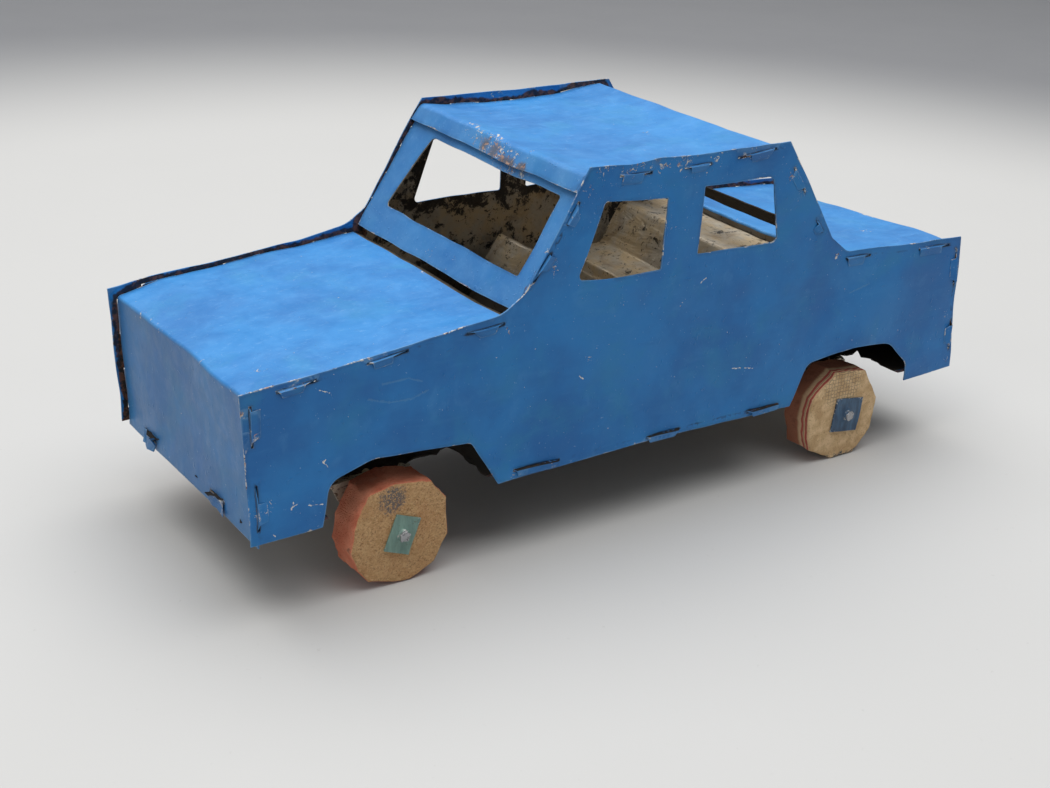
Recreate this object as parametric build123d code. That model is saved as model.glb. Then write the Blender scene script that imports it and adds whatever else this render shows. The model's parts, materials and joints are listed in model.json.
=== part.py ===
"""Hand-made toy car: a four-door saloon folded from tinplate, on wheels cut from shoe sole.

Frame: +X is the nose, +Y the car's left side, +Z up. The origin is on the ground,
under the middle of the car. Millimetres.

The body is flat sheets joined by tabs. Each cross sheet (nose, windshield frame, roof,
rear window frame, tail, floor) carries tabs on its edges; a tab goes through a slot in
the side panel and is folded flat on the outside. Wire axles turn in two tin hangers
under the floor, and the wheels turn on the wires between tin washers.
"""

import os
from math import hypot

from build123d import *

# ---------------------------------------------------------------- driving dimensions
SHEET = 0.4  # thickness of every tin sheet
THROUGH = 200.0  # length of a cut that goes right through whatever is in its way
SIDE_Y = 45.5  # outer face of a side panel, from the centre plane
FIT = 0.1  # gap between a cross sheet's end and the side panel it meets
SLOT_FIT = 0.15  # play all round a tab in its slot
LAY = 0.05  # gap under a tab that is folded flat
TAB_FOLD = 3.6  # length of the folded end of a tab
SILL_TAB_FOLD = 2.1  # the same for the floor's tabs, which end at the sill

INNER_Y = SIDE_Y - SHEET  # inner face of a side panel
CROSS_Y = INNER_Y - FIT  # half width of a cross sheet
TAB_Y = SIDE_Y + LAY + SHEET  # outer face of a folded tab

FLOOR_Z = 26.6  # underside of the floor sheet
FLOOR_CUT = (FLOOR_Z - SHEET, FLOOR_Z + 2 * SHEET)  # heights of a cut through the floor
WELL_Y = 25.0  # the floor is cut away for the wheels beyond this distance
WELL_FRONT_LIP = 2.0  # how far the floor shows in the front of a wheel arch
WELL_BACK_LIP = 3.0  # and in the back of it

AXLE_Z = 15.5  # height of both axles, and of each wheel's flat below them
FRONT_X = 85.0  # front axle
REAR_X = -86.5  # rear axle
WIRE_R = 1.0  # axle wire
RUN_FIT = 0.06  # radial play of a wire in a hanger, and of a wheel on a wire
GRIP_FIT = 0.02  # radial play of a wire in its own washers
WIRE_END_Y = 46.1  # the peened end of the wire
HEAD_R = 1.6  # peened head
HEAD_LENGTH = 0.7

WHEEL_Y = 32.25  # inner face of a wheel
WHEEL_WIDTH = 12.0
END_PLAY = 0.1  # gap between a wheel's face and a washer
WHEEL_CHAMFER = 0.5

SEAT_Y = 40.5  # half width of the seat sheet
HANGER_Y = 28.0  # inner face of a hanger's ear
HANGER_TOP = 28.0  # width of a hanger across the floor, along the car
HANGER_FOOT = 9.0  # width of an ear at its lower end
EAR_BELOW_AXLE = 4.5
EAR_CORNER_R = 2.0

# ------------------------------------------------------------------- sheet outlines
# The side panel as (x, z, corner radius): down the nose, back along the sill and its
# arches, up the tail, and forward along the top.
NOSE_EDGE = [(133.5, 67.5, 0), (132.4, 52.5, 0), (131.3, 24.3, 0)]
FRONT_ARCH = [(110.3, 24.8, 0), (108.2, 37.0, 5), (95.0, 40.9, 12), (64.0, 39.3, 3), (54.1, 24.0, 0)]
REAR_ARCH = [(-58.4, 24.9, 0), (-64.6, 38.6, 4), (-85.0, 40.5, 16), (-101.8, 39.0, 9),
             (-111.0, 30.0, 5), (-111.3, 23.4, 0)]
TAIL_EDGE = [(-133.5, 24.3, 0), (-131.2, 50.0, 0), (-129.9, 72.0, 0)]
TRUNK_LINE = [(-77.0, 74.4, 6), (-68.5, 80.3, 4)]
ROOF_LINE = [(-46.0, 113.5, 0), (27.8, 113.7, 0)]
COWL_LINE = [(47.6, 80.2, 6), (55.0, 75.8, 12), (84.0, 72.2, 0)]
SILL_MIDDLE = [(4.0, 25.5, 0)]
LEFT_WINDOWS = ([(21.9, 103.7, 1.5), (29.9, 81.6, 1.5), (0.4, 80.3, 0.5), (-0.3, 101.6, 0.5)],
                [(-13.8, 103.5, 0.5), (-13.2, 83.0, 0.5), (-45.0, 82.7, 1.5), (-40.4, 103.2, 2.5)])
RIGHT_WINDOWS = ([(21.9, 103.7, 1.5), (30.2, 79.3, 1.5), (-2.8, 79.9, 0.8), (-3.1, 101.6, 0.8)],
                 [(-13.8, 103.5, 0.8), (-13.6, 80.0, 0.8), (-45.0, 80.4, 1.5), (-40.4, 103.2, 2.5)])

# Cross sheets, as lines along their outer surface (x, z, bend radius). Each line runs
# with the outside of the car on its left: up the tail, forward, and down the nose.
NOSE_LINE = [(48.6, 71.6, 0), (52.2, 73.2, 1.5), (81.0, 71.2, 0), (118.0, 67.3, 0),
             (130.6, 64.9, 1.2), (129.7, 44.0, 0), (129.0, 23.0, 0)]
WINDSHIELD_LINE = [(28.0, 109.6, 0), (50.4, 75.3, 0)]
ROOF_SHEET_LINE = [(-49.3, 106.0, 0), (-42.0, 112.4, 2), (-22.0, 110.6, 0), (4.0, 110.2, 0),
                   (18.0, 110.9, 0), (28.2, 112.0, 2.5), (31.6, 107.0, 0)]
REAR_FRAME_LINE = [(-67.2, 78.0, 0), (-47.9, 106.4, 0)]
TAIL_LINE = [(-132.0, 24.6, 0), (-131.2, 41.5, 0), (-127.9, 70.0, 1.2), (-77.0, 72.4, 0),
             (-71.3, 72.9, 1.2), (-71.0, 69.9, 0)]
FLOOR_LINE = [(128.4, FLOOR_Z, 0), (-131.4, FLOOR_Z, 0)]
SEAT_LINE = [(-70.6, 69.8, 0), (-60.5, 69.3, 4), (-51.5, 70.9, 2), (-43.2, 57.2, 2), (-29.6, 55.2, 1),
             (-29.3, 51.0, 1), (-0.8, 66.4, 1.2), (6.5, 55.0, 0), (11.0, 44.6, 3), (33.0, 46.0, 1.5),
             (35.5, 27.4, 0.8), (41.0, 27.4, 0)]

# Tabs, as (stretch of the line, distance along it to the tab's middle, width).
NOSE_TABS = [(1, 8.2, 12.0), (2, 9.5, 12.0), (2, 36.6, 11.0), (4, 6.6, 11.0), (5, 9.0, 13.0)]
WINDSHIELD_TABS = [(0, 9.5, 7.0), (0, 27.0, 9.0)]
ROOF_TABS = [(1, 9.0, 14.0), (2, 11.5, 10.0), (3, 8.0, 11.0)]
REAR_FRAME_TABS = [(0, 8.5, 5.0), (0, 28.0, 10.0)]
TAIL_TABS = [(0, 12.0, 10.5), (1, 20.4, 13.0), (2, 11.5, 15.0), (2, 46.0, 10.0)]
FLOOR_TABS = [(0, 87.5, 16.0), (0, 134.0, 13.0), (0, 175.0, 13.0)]
FLOOR_END_TABS = (-26.5, 19.0)  # across the car, where floor tabs hook the nose and the tail
END_TAB_WIDTH = 9.0
SEAT_TAB_Y = 22.0
HANGER_TAB_Y = 14.0
HELD_TAB_WIDTH = 8.0  # tabs that hold the seat and the hangers to the floor

WINDSHIELD_HOLE = [(31.4, -36.4, 1.5), (6.4, -31.7, 2), (6.2, 37.6, 1), (32.0, 38.2, 0.8)]
REAR_WINDOW_HOLE = [(6.0, -36.0, 3), (29.0, -33.0, 3), (29.0, 33.0, 3), (6.0, 36.0, 3)]

# Wheels are cut by hand, so each is an uneven polygon: corners as (x, z) from the axle.
# The flat that a wheel stands on is AXLE_Z below the axle.
FRONT_TREAD = [(-3.0, -AXLE_Z), (8.5, -AXLE_Z), (13.5, -9.0), (15.8, -2.0), (14.8, 5.0), (10.5, 14.0),
               (2.0, 16.3), (-9.5, 14.0), (-14.5, 7.8), (-15.3, -4.0), (-11.0, -12.0)]
REAR_TREAD = [(-5.7, -AXLE_Z), (4.3, -AXLE_Z), (14.5, -10.5), (17.0, 0.0), (16.0, 8.0), (6.5, 16.0),
              (-7.2, 14.5), (-14.2, 3.5), (-13.3, -8.0)]
FRONT_WASHER = (8.3, 11.2, -21.0)  # width, height and tilt in degrees
REAR_WASHER = (12.2, 11.8, -8.0)
INNER_WASHER = (9.0, 9.0, 35.0)
COLLAR_R = 1.9  # the burr that the punch raised round a washer's hole
COLLAR_HEIGHT = 0.5

LEFT, RIGHT = 1, -1


# ------------------------------------------------------------------------- helpers
def outline(corners):
    """Flat face in the x-z plane, from corners with radii."""
    points = [(x, z) for x, z, _ in corners]
    radii = [radius for _, _, radius in corners]
    return Plane.XZ * make_face(FilletPolyline(*points, radius=radii, close=True))


def normals(line):
    """Unit normal to the outside of the car, for each stretch of a line."""
    found = []
    for (x0, z0, _), (x1, z1, _) in zip(line, line[1:]):
        length = hypot(x1 - x0, z1 - z0)
        found.append((-(z1 - z0) / length, (x1 - x0) / length))
    return found


def folded_face(line):
    """Section of a folded sheet: its outer line, and the same line one thickness inside."""
    out = normals(line)
    before = [out[0], *out]
    after = [*out, out[-1]]
    inner_points, inner_radii = [], []
    for (x, z, radius), (ax, az), (bx, bz) in zip(line, before, after):
        mitre = SHEET / (1 + ax * bx + az * bz)
        inner_points.append((x - (ax + bx) * mitre, z - (az + bz) * mitre))
        turns_inward = ax * bz - az * bx < 0
        inner_radii.append(radius and (radius - SHEET if turns_inward else radius + SHEET))
    outer = FilletPolyline(*[(x, z) for x, z, _ in line], radius=[radius for _, _, radius in line[1:-1]])
    inner = FilletPolyline(*inner_points, radius=inner_radii[1:-1])
    return Plane.XZ * make_face([outer, Line(outer @ 0, inner @ 0), inner, Line(outer @ 1, inner @ 1)])


def straight_face(line):
    """Section of a flat sheet, which has only two points on its line."""
    (x0, z0, _), (x1, z1, _) = line
    (nx, nz), = normals(line)
    return Plane.XZ * make_face(Polyline((x0, z0), (x1, z1), (x1 - nx * SHEET, z1 - nz * SHEET),
                                         (x0 - nx * SHEET, z0 - nz * SHEET), close=True))


def across(face, half_width):
    """A section carried across the car, from side to side."""
    return extrude(face, amount=half_width, both=True)


def plane_on(line, stretch, distance):
    """Plane on a sheet's outer surface: x along the line, y to the car's left, z outward."""
    (x0, z0, _), (x1, z1, _) = line[stretch], line[stretch + 1]
    nx, nz = normals(line)[stretch]
    share = distance / hypot(x1 - x0, z1 - z0)
    origin = (x0 + (x1 - x0) * share, 0, z0 + (z1 - z0) * share)
    return Plane(origin=origin, x_dir=(nz, 0, -nx), z_dir=(nx, 0, nz))


def block(x0, x1, y0, y1, z0, z1):
    """Box between six limits."""
    return Pos((x0 + x1) / 2, (y0 + y1) / 2, (z0 + z1) / 2) * Box(x1 - x0, abs(y1 - y0), z1 - z0)


def side_tabs(line, tabs):
    """The tabs of a cross sheet on both sides, each through its slot and folded flat: the
    floor's tabs down towards the sill, the others towards the middle of the side panel."""
    pieces = []
    for stretch, distance, width in tabs:
        plane = plane_on(line, stretch, distance)
        low, high = (-SHEET, SILL_TAB_FOLD - SHEET) if line is FLOOR_LINE else (-TAB_FOLD, 0)
        for side in (LEFT, RIGHT):
            reach = block(-width / 2, width / 2, side * (CROSS_Y - SHEET), side * TAB_Y, -SHEET, 0)
            fold = block(-width / 2, width / 2, side * (SIDE_Y + LAY), side * TAB_Y, low, high)
            pieces += [plane * reach, plane * fold]
    return pieces


def side_slots(line, tabs):
    """The slots that one cross sheet's tabs need in a side panel, as cutting blocks."""
    cutters = []
    for stretch, distance, width in tabs:
        half = width / 2 + SLOT_FIT
        cutters.append(plane_on(line, stretch, distance)
                       * block(-half, half, -TAB_Y, TAB_Y, -SHEET - SLOT_FIT, SLOT_FIT))
    return cutters


def save(shape, node):
    export_step(shape, f"parts/{node}.step")


# ---------------------------------------------------------------------- body sheets
CROSS_SHEETS = [(NOSE_LINE, NOSE_TABS), (WINDSHIELD_LINE, WINDSHIELD_TABS), (ROOF_SHEET_LINE, ROOF_TABS),
                (REAR_FRAME_LINE, REAR_FRAME_TABS), (TAIL_LINE, TAIL_TABS), (FLOOR_LINE, FLOOR_TABS)]


def side_panel(side):
    """One whole side of the car, with its wheel arches, two windows and the tab slots."""
    corners = [*NOSE_EDGE, *FRONT_ARCH, *SILL_MIDDLE, *REAR_ARCH, *TAIL_EDGE,
               *TRUNK_LINE, *ROOF_LINE, *COWL_LINE]
    front_window, rear_window = LEFT_WINDOWS if side == LEFT else RIGHT_WINDOWS
    face = outline(corners) - outline(front_window) - outline(rear_window)
    # The x-z plane faces -Y, so the sheet grows from its larger y.
    panel = Pos(0, SIDE_Y if side == LEFT else -INNER_Y, 0) * extrude(face, amount=SHEET)
    for line, tabs in CROSS_SHEETS:
        panel -= side_slots(line, tabs)
    return panel


def end_tab(y, nose):
    """A floor tab that goes through the nose or the tail and is folded down outside it."""
    line, stretch = (NOSE_LINE, len(NOSE_LINE) - 2) if nose else (TAIL_LINE, 0)
    way = 1 if nose else -1
    wall_x = end_wall_x(line, stretch)
    start = FLOOR_LINE[0 if nose else 1][0] - way * SHEET
    out = wall_x + way * (LAY + SHEET)
    half = END_TAB_WIDTH / 2
    x_limits = sorted((start, out))
    fold_limits = sorted((wall_x + way * LAY, out))
    reach = block(*x_limits, y - half, y + half, FLOOR_Z, FLOOR_Z + SHEET)
    fold = block(*fold_limits, y - half, y + half, FLOOR_Z - TAB_FOLD, FLOOR_Z + SHEET)
    return reach + fold


def end_wall_x(line, stretch):
    """How far out the nose or tail reaches over the height of a folded floor tab."""
    (x0, z0, _), (x1, z1, _) = line[stretch], line[stretch + 1]
    heights = (FLOOR_Z + SHEET, FLOOR_Z - TAB_FOLD)
    return max((x0 + (x1 - x0) * (z - z0) / (z1 - z0) for z in heights), key=abs)


def end_slots(sign):
    """Cutting blocks for the floor tabs, at the nose (sign 1) or the tail (sign -1)."""
    half = END_TAB_WIDTH / 2 + SLOT_FIT
    start, end = sorted((sign * FRONT_X, sign * THROUGH))
    return [block(start, end, y - half, y + half, FLOOR_Z - SLOT_FIT, FLOOR_Z + SHEET + SLOT_FIT)
            for y in FLOOR_END_TABS]


def hood_and_nose():
    """Hood top and nose, one sheet folded over at the front."""
    sheet = across(folded_face(NOSE_LINE), CROSS_Y)
    sheet += side_tabs(NOSE_LINE, NOSE_TABS)
    return sheet - end_slots(1)


def trunk_and_tail():
    """Trunk lid and tail, one sheet folded over at the back."""
    sheet = across(folded_face(TAIL_LINE), CROSS_Y)
    sheet += side_tabs(TAIL_LINE, TAIL_TABS)
    return sheet - end_slots(-1)


def roof():
    """Roof, sagging in the middle, with its front edge folded down as a visor."""
    return across(folded_face(ROOF_SHEET_LINE), CROSS_Y) + side_tabs(ROOF_SHEET_LINE, ROOF_TABS)


def framed_sheet(line, tabs, hole):
    """A sloping sheet with one window cut out of it."""
    corners = [(along, y) for along, y, _ in hole]
    opening = make_face(FilletPolyline(*corners, radius=[radius for _, _, radius in hole], close=True))
    cutter = plane_on(line, 0, 0) * extrude(opening, amount=SHEET * 2, both=True)
    return across(straight_face(line), CROSS_Y) + side_tabs(line, tabs) - cutter


def floor_tab_slots():
    """Slots in the floor for the tabs of the seat and of both hangers."""
    half = HELD_TAB_WIDTH / 2 + SLOT_FIT
    cutters = []
    seat_x = SEAT_LINE[-1][0]
    for y in (-SEAT_TAB_Y, SEAT_TAB_Y):
        cutters.append(block(seat_x - SHEET - SLOT_FIT, seat_x + SLOT_FIT, y - half, y + half, *FLOOR_CUT))
    for x in (FRONT_X, REAR_X):
        for y in (-HANGER_TAB_Y, HANGER_TAB_Y):
            slot = SHEET / 2 + SLOT_FIT
            cutters.append(block(x - half, x + half, y - slot, y + slot, *FLOOR_CUT))
    return cutters


def floor_pan():
    """Floor, cut away at the four wheels, with tabs to the sides, the nose and the tail."""
    sheet = across(straight_face(FLOOR_LINE), CROSS_Y) + side_tabs(FLOOR_LINE, FLOOR_TABS)
    for y in FLOOR_END_TABS:
        sheet += end_tab(y, nose=True)
        sheet += end_tab(y, nose=False)
    for arch in (FRONT_ARCH, REAR_ARCH):
        front, back = arch[0][0] - WELL_FRONT_LIP, arch[-1][0] + WELL_BACK_LIP
        for side in (LEFT, RIGHT):
            sheet -= block(back, front, *sorted((side * WELL_Y, side * THROUGH)), *FLOOR_CUT)
    return sheet - floor_tab_slots()


def seat_sheet():
    """Front and rear seats, pressed from one sheet, with two tabs through the floor."""
    sheet = across(folded_face(SEAT_LINE), SEAT_Y)
    edge = SEAT_LINE[-1][0]
    half = HELD_TAB_WIDTH / 2
    bottom = FLOOR_Z - LAY - SHEET
    for y in (-SEAT_TAB_Y, SEAT_TAB_Y):
        sheet += block(edge - SHEET, edge, y - half, y + half, bottom, SEAT_LINE[-1][1])
        sheet += block(edge - SHEET, edge + TAB_FOLD, y - half, y + half, bottom, bottom + SHEET)
    return sheet


# --------------------------------------------------------------------- running gear
def hanger(axle_x):
    """Tin strip under the floor, its two ears folded down to carry the axle."""
    top = FLOOR_Z - LAY
    foot = AXLE_Z - EAR_BELOW_AXLE
    outer = HANGER_Y + SHEET
    base = block(-HANGER_TOP / 2, HANGER_TOP / 2, -outer, outer, top - SHEET, top)
    ear_corners = [(-HANGER_TOP / 2, top, 0), (HANGER_TOP / 2, top, 0),
                   (HANGER_FOOT / 2, foot, EAR_CORNER_R),
                   (-HANGER_FOOT / 2, foot, EAR_CORNER_R)]
    ear = extrude(outline(ear_corners), amount=SHEET)
    strip = base + Pos(0, outer, 0) * ear + Pos(0, -HANGER_Y, 0) * ear
    strip -= Pos(0, 0, AXLE_Z) * Rot(90, 0, 0) * Cylinder(WIRE_R + RUN_FIT, THROUGH)
    half = HELD_TAB_WIDTH / 2
    over = FLOOR_Z + SHEET + LAY
    for side in (LEFT, RIGHT):
        y = side * HANGER_TAB_Y
        strip += block(-half, half, y - SHEET / 2, y + SHEET / 2, top - SHEET, over + SHEET)
        strip += block(-half, half, y - side * SHEET / 2, y + side * TAB_FOLD, over, over + SHEET)
    return Pos(axle_x, 0, 0) * strip


def axle(axle_x):
    """Wire axle, with both ends peened over the outer washers."""
    wire = Cylinder(WIRE_R, 2 * WIRE_END_Y)
    for side in (LEFT, RIGHT):
        wire += Pos(0, 0, side * (WIRE_END_Y - HEAD_LENGTH / 2)) * Cylinder(HEAD_R, HEAD_LENGTH)
    return Pos(axle_x, 0, AXLE_Z) * Rot(90, 0, 0) * wire


def wheel(axle_x, side, tread):
    """A wheel: a thick slab of sole cut to an uneven polygon. The right side is mirrored."""
    corners = [(side * x, z) for x, z in tread]
    slab = extrude(Plane.XZ * make_face(Polyline(*corners, close=True)), amount=WHEEL_WIDTH)
    slab = chamfer(slab.edges().filter_by(Axis.Y, reverse=True), WHEEL_CHAMFER)
    outer_y = WHEEL_Y + WHEEL_WIDTH if side == LEFT else -WHEEL_Y
    slab = Pos(0, outer_y, 0) * slab - Rot(90, 0, 0) * Cylinder(WIRE_R + RUN_FIT, THROUGH)
    return Pos(axle_x, 0, AXLE_Z) * slab


def washer(axle_x, side, size, inner_y, collar):
    """A tin washer snipped square, gripping the wire; the outer ones keep a raised burr."""
    width, height, tilt = size
    plate = Rot(0, 0, tilt) * Box(width, height, SHEET)
    plate = Pos(0, 0, SHEET / 2) * plate
    if collar:
        plate += Pos(0, 0, SHEET + COLLAR_HEIGHT / 2) * Cylinder(COLLAR_R, COLLAR_HEIGHT)
    plate -= Cylinder(WIRE_R + GRIP_FIT, THROUGH)
    facing = Plane(origin=(axle_x, side * inner_y, AXLE_Z), x_dir=(side, 0, 0), z_dir=(0, side, 0))
    return facing * plate


# ---------------------------------------------------------------------------- build
os.makedirs("parts", exist_ok=True)

save(side_panel(LEFT), "side_panel_left")
save(side_panel(RIGHT), "side_panel_right")
save(hood_and_nose(), "hood_and_nose")
save(trunk_and_tail(), "trunk_and_tail")
save(roof(), "roof")
save(framed_sheet(WINDSHIELD_LINE, WINDSHIELD_TABS, WINDSHIELD_HOLE), "windshield_frame")
save(framed_sheet(REAR_FRAME_LINE, REAR_FRAME_TABS, REAR_WINDOW_HOLE), "rear_window_frame")
save(floor_pan(), "floor_pan")
save(seat_sheet(), "seat_sheet")

OUTER_WASHER_Y = WHEEL_Y + WHEEL_WIDTH + END_PLAY
INNER_WASHER_Y = WHEEL_Y - END_PLAY - SHEET
for end, axle_x, tread, washer_size in (("front", FRONT_X, FRONT_TREAD, FRONT_WASHER),
                                        ("rear", REAR_X, REAR_TREAD, REAR_WASHER)):
    save(hanger(axle_x), f"{end}_hanger")
    save(axle(axle_x), f"{end}_axle")
    for side, side_name in ((LEFT, "left"), (RIGHT, "right")):
        save(wheel(axle_x, side, tread), f"{end}_{side_name}_wheel")
        save(washer(axle_x, side, washer_size, OUTER_WASHER_Y, True), f"{end}_{side_name}_outer_washer")
        save(washer(axle_x, side, INNER_WASHER, INNER_WASHER_Y, False), f"{end}_{side_name}_inner_washer")
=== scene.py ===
"""Looks of the folded-tin toy car: hand-bent painted sheets, sole-rubber wheels, tin washers.

Every tin piece starts as a copy of its CAD node's mesh. The copy is cut into a fine grid,
given the measures that its paint needs (how far each point is from an edge, a fold or a
seam), and then bent by one field that all the sheets share, so they still fit together.
"""

import json
import math
import random

import bmesh
import bpy
from mathutils import Matrix, Vector, noise
from mathutils.bvhtree import BVHTree
from mathutils.kdtree import KDTree


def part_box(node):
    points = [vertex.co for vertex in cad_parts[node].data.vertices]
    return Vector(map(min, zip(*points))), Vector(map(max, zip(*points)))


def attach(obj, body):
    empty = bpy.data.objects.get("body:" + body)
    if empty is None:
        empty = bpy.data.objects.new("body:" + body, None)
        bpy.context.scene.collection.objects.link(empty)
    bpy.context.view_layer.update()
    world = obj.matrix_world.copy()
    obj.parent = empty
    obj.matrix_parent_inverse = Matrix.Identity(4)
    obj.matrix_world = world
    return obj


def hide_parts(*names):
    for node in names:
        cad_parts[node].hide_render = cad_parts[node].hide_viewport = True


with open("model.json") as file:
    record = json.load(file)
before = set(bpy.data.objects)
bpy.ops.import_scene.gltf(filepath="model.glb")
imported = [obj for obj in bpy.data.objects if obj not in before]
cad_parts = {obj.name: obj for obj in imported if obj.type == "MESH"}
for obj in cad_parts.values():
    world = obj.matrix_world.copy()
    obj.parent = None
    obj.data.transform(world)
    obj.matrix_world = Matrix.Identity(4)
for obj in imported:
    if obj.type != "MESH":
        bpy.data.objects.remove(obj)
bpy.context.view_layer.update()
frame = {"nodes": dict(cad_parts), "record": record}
WAVE_SEED = 341  # fixes the field that hand_bent() draws on
noise.seed_set(WAVE_SEED)

MM = 0.001
NODES = frame["nodes"]
SHELL = "body_shell"
SIDES = {"side_panel_left": 1, "side_panel_right": -1}
HANGERS = ("front_hanger", "rear_hanger")
CROSS_SHEETS = ("hood_and_nose", "trunk_and_tail", "roof", "windshield_frame", "rear_window_frame",
                "floor_pan")
PANEL_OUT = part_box("side_panel_left")[1].y
PANEL_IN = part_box("side_panel_left")[0].y
TAB_LENGTH = 3.6 * MM
TAB_DEPTH = 0.95 * MM  # how far a windshield tab stands outside the place where its sheet stops
CROSS_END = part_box("windshield_frame")[1].y - TAB_DEPTH
FLOOR_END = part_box("floor_pan")[1].x - 0.6 * MM  # the end tabs stand outside the nose and the tail
HOOD_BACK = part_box("hood_and_nose")[0].x
HOOD_LIP = 3.4 * MM  # bare strip where the hood's back edge is bent down

GRID = 2.0 * MM  # spacing of the cuts in a tin sheet
WHEEL_GRID = 1.1 * MM
WASHER_GRID = 0.7 * MM
WIRE_GRID = 1.5 * MM

# Edges between these angles, in degrees, are a sheet's cut rims, and between these its folds.
RIM_ANGLES = (40, 180)
FOLD_ANGLES = (6, 40)

# Edges sharper than this, in degrees, stay crisp in the shading.
TIN_SHARP = 35
RUBBER_SHARP = 28
WIRE_SHARP = 40


# ------------------------------------------------------------------ mesh preparation
def smooth(low, high, value):
    """0 below low, 1 above high, and a smooth step between."""
    t = min(1.0, max(0.0, (value - low) / (high - low)))
    return t * t * (3 - 2 * t)


def node_bmesh(node):
    """A CAD node's mesh as a bmesh, its flat triangle edges marked as seams."""
    bm = bmesh.new()
    bm.from_mesh(NODES[node].data)
    bmesh.ops.remove_doubles(bm, verts=bm.verts[:], dist=1e-6)
    for edge in bm.edges:
        edge.seam = len(edge.link_faces) == 2 and edge.calc_face_angle(0) < math.radians(0.5)
    return bm


def cut_into_grid(bm, pitch):
    """Cut by planes one pitch apart on each axis, then drop the old triangle edges."""
    points = [v.co for v in bm.verts]
    for axis in range(3):
        low, high = min(p[axis] for p in points), max(p[axis] for p in points)
        normal = Vector([float(i == axis) for i in range(3)])
        for step in range(1, int((high - low) / pitch)):
            everything = bm.verts[:] + bm.edges[:] + bm.faces[:]
            bmesh.ops.bisect_plane(bm, geom=everything, dist=1e-7, plane_co=normal * (low + step * pitch),
                                   plane_no=normal)
    old = [e for e in bm.edges if e.seam]
    bmesh.ops.dissolve_limit(bm, angle_limit=math.radians(1), verts=[], edges=old)
    for edge in bm.edges:
        edge.seam = False


def tree_of_edges(bm, low, high, shortest=0.0):
    """Points along the edges whose faces meet at an angle between low and high degrees."""
    found = []
    for edge in bm.edges:
        angle = math.degrees(edge.calc_face_angle(0)) if len(edge.link_faces) == 2 else 0
        length = edge.calc_length()
        if low <= angle <= high and length >= shortest:
            a, b = (v.co for v in edge.verts)
            count = max(2, int(length / (0.5 * MM)) + 1)
            found += [a.lerp(b, i / (count - 1)) for i in range(count)]
    tree = KDTree(max(1, len(found)))
    for i, point in enumerate(found or [Vector((9, 9, 9))]):
        tree.insert(point, i)
    tree.balance()
    return tree


# Shallow dents: middle, radius and push, in millimetres.
DENTS = [
    ((92, 5, 70), 26, (0, 0, -0.8)),
    ((70, -22, 73), 16, (0, 0, 0.4)),
    ((10, 4, 111), 24, (0, 0, -0.6)),
    ((-20, -26, 111), 16, (0, 0, 0.4)),
    ((131, 10, 46), 22, (-1.0, 0, 0)),
    ((131, -30, 40), 15, (0.5, 0, 0)),
    ((90, 45, 55), 20, (0, -0.7, 0)),
    ((20, 45, 50), 26, (0, 0.5, 0)),
    ((-60, 45, 55), 24, (0, -0.6, 0)),
    ((-100, 45, 55), 14, (0, 0.4, 0)),
    ((-100, 0, 72), 24, (0, 0, -0.8)),
    ((14, 44, 113), 4, (0, 0.5, -0.25)),
    ((3, 44, 113), 3, (0, -0.6, 0.15)),
    ((-9, 44, 113), 4, (0, 0.5, -0.3)),
    ((-24, 44, 113), 5, (0, -0.5, 0.1)),
]


def hand_bent(point):
    """Where a point of the body goes: the waves, dents and lean that hand work left."""
    above_wheels = smooth(17 * MM, 33 * MM, point.z)
    broad = noise.noise_vector(point / (70 * MM) + Vector((3.1, 8.2, 1.7))) * 0.5 * MM
    waves = noise.noise_vector(point / (26 * MM) + Vector((7.4, 2.6, 5.3))) * 0.75 * MM
    fine = noise.noise_vector(point / (8 * MM)) * 0.22 * MM
    moved = point + (broad + waves + fine) * above_wheels
    # The trunk is lower on the car's right, where its panel was cut lower.
    behind = smooth(68 * MM, 84 * MM, -point.x) * smooth(45 * MM, 66 * MM, point.z)
    moved.z -= 3.0 * MM * behind * smooth(-PANEL_OUT, PANEL_OUT, -point.y)
    for place, radius, push in DENTS:
        share = math.exp(-((point - Vector(place) * MM).length / (radius * MM)) ** 2)
        moved += Vector(push) * MM * share
    return moved


def islands_beyond(bm, distance):
    """The separate groups of vertices that lie further out than a distance: the tabs."""
    outside = {v for v in bm.verts if abs(v.co.y) > distance}
    islands = []
    while outside:
        island, todo = set(), [outside.pop()]
        while todo:
            vert = todo.pop()
            island.add(vert)
            near = {edge.other_vert(vert) for edge in vert.link_edges} & outside
            outside -= near
            todo += near
        islands.append(sorted(island, key=lambda v: v.index))
    return sorted(islands, key=lambda island: island[0].index)


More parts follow.
